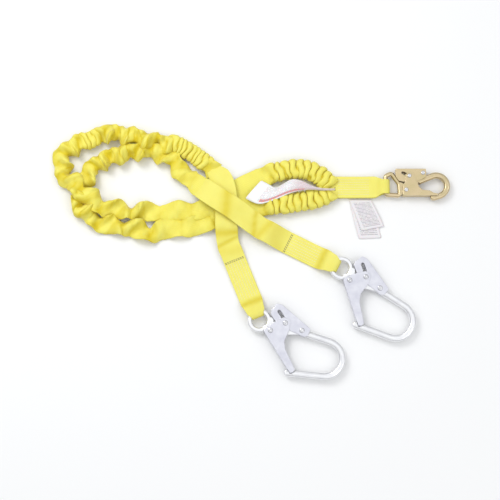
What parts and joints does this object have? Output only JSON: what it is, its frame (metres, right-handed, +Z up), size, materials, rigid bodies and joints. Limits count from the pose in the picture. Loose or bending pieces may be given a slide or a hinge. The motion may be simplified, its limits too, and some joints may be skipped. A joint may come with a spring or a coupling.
{
  "type": "twin-leg shock absorbing lanyard",
  "caption": "Twin-leg stretch webbing fall-arrest lanyard lying flat: gathered tubular legs, a double-locking snap hook at the harness end and large rebar hooks at the leg ends.",
  "frame": {"origin": "on the floor under the centre of the laid-out lanyard", "axes": "+X from the leg loops towards the harness snap hook, +Z up out of the floor"},
  "size_m": [0.8074, 0.5171, 0.0333],
  "materials": {
    "fabric_yellow": "satin woven polyester webbing",
    "core_webbing": "matt energy-absorbing core webbing",
    "elastic": "covered elastic strand",
    "thread": "sewing thread",
    "label_white": null,
    "zinc_gold": "yellow zinc plated steel",
    "forged_steel": "bright zinc plated forged steel",
    "stamped_steel": "bright zinc plated stamped sheet",
    "rivet_steel": "polished rivet heads",
    "spring_steel": "spring wire"
  },
  "bodies": {
    "legs": {"leg_a_jacket": "fabric_yellow", "leg_a_core": "core_webbing", "leg_a_elastic": "elastic", "leg_a_gather": "fabric_yellow", "leg_a_gather_core": "core_webbing", "leg_a_gather_elastic": "elastic", "leg_a_crossover": "fabric_yellow", "leg_b_jacket": "fabric_yellow", "leg_b_core": "core_webbing", "leg_b_elastic": "elastic", "leg_b_gather": "fabric_yellow", "leg_b_gather_core": "core_webbing", "leg_b_gather_elastic": "elastic", "leg_b_crossover": "fabric_yellow"},
    "harness_end": {"harness_strap": "fabric_yellow", "harness_stitching": "thread", "warning_label": "label_white"},
    "tag_back": {"tag_back": "label_white"},
    "tag_front": {"tag_front": "label_white"},
    "strap_a": {"leg_a_end_strap": "fabric_yellow", "leg_a_stitching": "thread"},
    "strap_b": {"leg_b_end_strap": "fabric_yellow", "leg_b_stitching": "thread"},
    "snap_hook": {"snap_hook_body": "zinc_gold", "snap_hook_gate_rivet": "rivet_steel", "snap_hook_lever_rivet": "rivet_steel", "snap_hook_gate_spring": "spring_steel", "snap_hook_lever_spring": "spring_steel"},
    "snap_hook_gate": {"snap_hook_gate": "zinc_gold", "snap_hook_lock_pin": "rivet_steel"},
    "snap_hook_lever": {"snap_hook_lock_lever": "zinc_gold"},
    "hook_a": {"hook_a_body": "forged_steel", "hook_a_gate_rivet": "rivet_steel", "hook_a_lever_rivet": "rivet_steel", "hook_a_gate_spring": "spring_steel", "hook_a_lever_spring": "spring_steel"},
    "hook_a_gate": {"hook_a_gate": "stamped_steel", "hook_a_lock_pin": "rivet_steel"},
    "hook_a_lever": {"hook_a_lock_lever": "stamped_steel"},
    "hook_b": {"hook_b_body": "forged_steel", "hook_b_gate_rivet": "rivet_steel", "hook_b_lever_rivet": "rivet_steel", "hook_b_gate_spring": "spring_steel", "hook_b_lever_spring": "spring_steel"},
    "hook_b_gate": {"hook_b_gate": "stamped_steel", "hook_b_lock_pin": "rivet_steel"},
    "hook_b_lever": {"hook_b_lock_lever": "stamped_steel"}
  },
  "joints": [
    {"name": "harness_stretch", "type": "slide", "parent": "legs", "child": "harness_end", "axis": [1, 0, 0], "range_m": [0, 0.06], "deforming": ["leg_a_gather", "leg_b_gather", "leg_a_gather_core", "leg_b_gather_core", "leg_a_gather_elastic", "leg_b_gather_elastic"]},
    {"name": "snap_hook_swing", "type": "hinge", "parent": "harness_end", "child": "snap_hook", "pos_m": [0.2714, 0.1375, 0.01075], "axis": [0, 1, 0], "range_deg": [-75, 75]},
    {"name": "tag_back_flip", "type": "hinge", "parent": "harness_end", "child": "tag_back", "pos_m": [0.2181, 0.1145, 0.00185], "axis": [-1, 0, 0], "range_deg": [-8, 45]},
    {"name": "tag_front_flip", "type": "hinge", "parent": "tag_back", "child": "tag_front", "pos_m": [0.2181, 0.1145, 0.00325], "axis": [-1, 0, 0], "range_deg": [0, 15]},
    {"name": "strap_a_flex", "type": "hinge", "parent": "legs", "child": "strap_a", "pos_m": [0.01268, 0.05, 0.02155], "axis": [0.4462, 0.8949, 0], "range_deg": [-60, 15]},
    {"name": "strap_b_flex", "type": "hinge", "parent": "legs", "child": "strap_b", "pos_m": [-0.05252, 0.01806, 0.01155], "axis": [0.9272, 0.3746, 0], "range_deg": [-40, 15]},
    {"name": "hook_a_swing", "type": "hinge", "parent": "strap_a", "child": "hook_a", "pos_m": [0.16034, -0.02362, 0.01235], "axis": [0.4462, 0.8949, 0], "range_deg": [-50, 60]},
    {"name": "hook_b_swing", "type": "hinge", "parent": "strap_b", "child": "hook_b", "pos_m": [0.00367, -0.12102, 0.01235], "axis": [0.9272, 0.3746, 0], "range_deg": [-50, 60]},
    {"name": "snap_hook_lever_press", "type": "hinge", "parent": "snap_hook", "child": "snap_hook_lever", "pos_m": [0.3482, 0.1661, 0.01075], "axis": [0, 0, 1], "range_deg": [0, 8.5], "deforming": ["snap_hook_lever_spring"]},
    {"name": "snap_hook_gate_swing", "type": "hinge", "parent": "snap_hook", "child": "snap_hook_gate", "pos_m": [0.3129, 0.1302, 0.01075], "axis": [0, 0, 1], "range_deg": [0, 24.5]},
    {"name": "hook_a_lever_press", "type": "hinge", "parent": "hook_a", "child": "hook_a_lever", "pos_m": [0.2554, -0.07388, 0.01235], "axis": [0, 0, 1], "range_deg": [0, 8.4], "deforming": ["hook_a_lever_spring"]},
    {"name": "hook_a_gate_swing", "type": "hinge", "parent": "hook_a", "child": "hook_a_gate", "pos_m": [0.194, -0.058, 0.01235], "axis": [0, 0, 1], "range_deg": [0, 42]},
    {"name": "hook_b_lever_press", "type": "hinge", "parent": "hook_b", "child": "hook_b_lever", "pos_m": [0.09652, -0.1599, 0.01235], "axis": [0, 0, 1], "range_deg": [0, 8.4], "deforming": ["hook_b_lever_spring"]},
    {"name": "hook_b_gate_swing", "type": "hinge", "parent": "hook_b", "child": "hook_b_gate", "pos_m": [0.0331, -0.1599, 0.01235], "axis": [0, 0, 1], "range_deg": [0, 42]}
  ],
  "couplings": [
    {"joint": "snap_hook_gate_swing", "follows": "snap_hook_lever_press", "ratio": 2.8824},
    {"joint": "hook_a_gate_swing", "follows": "hook_a_lever_press", "ratio": 5},
    {"joint": "hook_b_gate_swing", "follows": "hook_b_lever_press", "ratio": 5}
  ]
}
